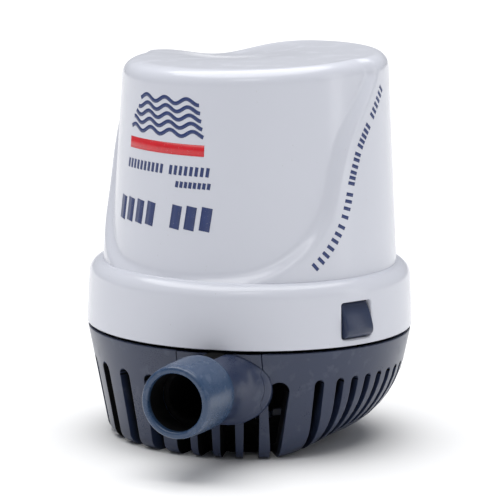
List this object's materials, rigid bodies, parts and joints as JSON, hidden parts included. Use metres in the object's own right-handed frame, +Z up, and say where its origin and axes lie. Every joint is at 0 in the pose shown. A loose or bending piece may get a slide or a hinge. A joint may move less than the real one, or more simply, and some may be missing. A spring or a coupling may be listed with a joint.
{
  "type": "bilge pump",
  "caption": "Submersible bilge pump with a slotted strainer base, clip-on white motor cap, side hose outlet, vertical motor and centrifugal impeller.",
  "frame": {"origin": "middle of the strainer base's flat underside, on the axis of the motor and impeller", "axes": "+Z up along the motor axis, -Y the way the outlet nozzle points, +X to the right seen from the outlet side"},
  "size_m": [0.1304, 0.166, 0.1541],
  "materials": {
    "white_plastic": "glossy moulded white",
    "slate_plastic": "semi-gloss slate navy moulding",
    "outlet_plastic": "semi-gloss blue slate moulding",
    "black_plastic": "satin black moulding",
    "natural_plastic": "satin natural acetal",
    "lens_plastic": "polished dark red",
    "circuit_green": "solder-masked circuit board",
    "rubber": "matte black rubber",
    "steel": "stainless steel",
    "zinc_steel": "zinc-plated steel",
    "brass": "plain brass",
    "bronze": "sintered bronze",
    "copper": "enamelled copper",
    "ferrite": "sintered ferrite, matte dark grey",
    "carbon": "pressed carbon"
  },
  "bodies": {
    "strainer": {"strainer_base": "slate_plastic"},
    "pump_body": {"cap": "white_plastic", "volute_housing": "slate_plastic", "outlet_nozzle": "outlet_plastic", "nozzle_seal": "rubber", "inlet_cover": "slate_plastic", "cover_screw_1": "steel", "cover_screw_2": "steel", "cover_screw_3": "steel", "cover_screw_4": "steel", "case_screw_1": "steel", "case_screw_2": "steel", "case_screw_3": "steel", "case_screw_4": "steel", "shaft_seal": "rubber", "seal_retainer": "brass", "lower_bearing": "bronze", "upper_bearing": "bronze", "motor_can": "zinc_steel", "magnet_right": "ferrite", "magnet_left": "ferrite", "brush_plate": "black_plastic", "motor_end_cap": "black_plastic", "motor_bolt_1": "steel", "motor_bolt_2": "steel", "brush_holder_right": "brass", "brush_holder_left": "brass", "brush_right": "carbon", "brush_left": "carbon", "brush_spring_right": "steel", "brush_spring_left": "steel", "control_board": "circuit_green", "relay": "black_plastic", "controller_chip": "black_plastic", "power_transistor": "black_plastic", "terminal_block": "natural_plastic", "capacitor_1": "zinc_steel", "capacitor_2": "zinc_steel", "board_post_1": "black_plastic", "board_post_2": "black_plastic", "board_screw_1": "steel", "board_screw_2": "steel", "sensor_housing": "black_plastic", "sensor_lens": "lens_plastic", "cable_grommet": "rubber", "gland_clamp": "black_plastic"},
    "rotor": {"motor_shaft": "steel", "impeller": "natural_plastic", "armature_core": "zinc_steel", "armature_winding": "copper", "commutator": "copper", "thrust_washer": "natural_plastic"},
    "latch_right_arm": {"latch_right": "slate_plastic"},
    "latch_left_arm": {"latch_left": "slate_plastic"}
  },
  "joints": [
    {"name": "lift_off", "type": "slide", "parent": "strainer", "child": "pump_body", "axis": [0, 0, 1], "range_m": [0, 0.05], "deforming": ["latch_right", "latch_left"]},
    {"name": "rotor_spin", "type": "hinge", "parent": "pump_body", "child": "rotor", "pos_m": [0, 0, 0.06], "axis": [0, 0, 1], "continuous": true},
    {"name": "latch_right_press", "type": "hinge", "parent": "pump_body", "child": "latch_right_arm", "pos_m": [0.05093, -0.02375, 0.0634], "axis": [0.4226, 0.9063, 0], "range_deg": [0, 4], "stiffness_Nm_per_rad": 0.6, "springref_deg": -1.72},
    {"name": "latch_left_press", "type": "hinge", "parent": "pump_body", "child": "latch_left_arm", "pos_m": [-0.05093, 0.02375, 0.0634], "axis": [-0.4226, -0.9063, 0], "range_deg": [0, 4], "stiffness_Nm_per_rad": 0.6, "springref_deg": -1.72}
  ]
}
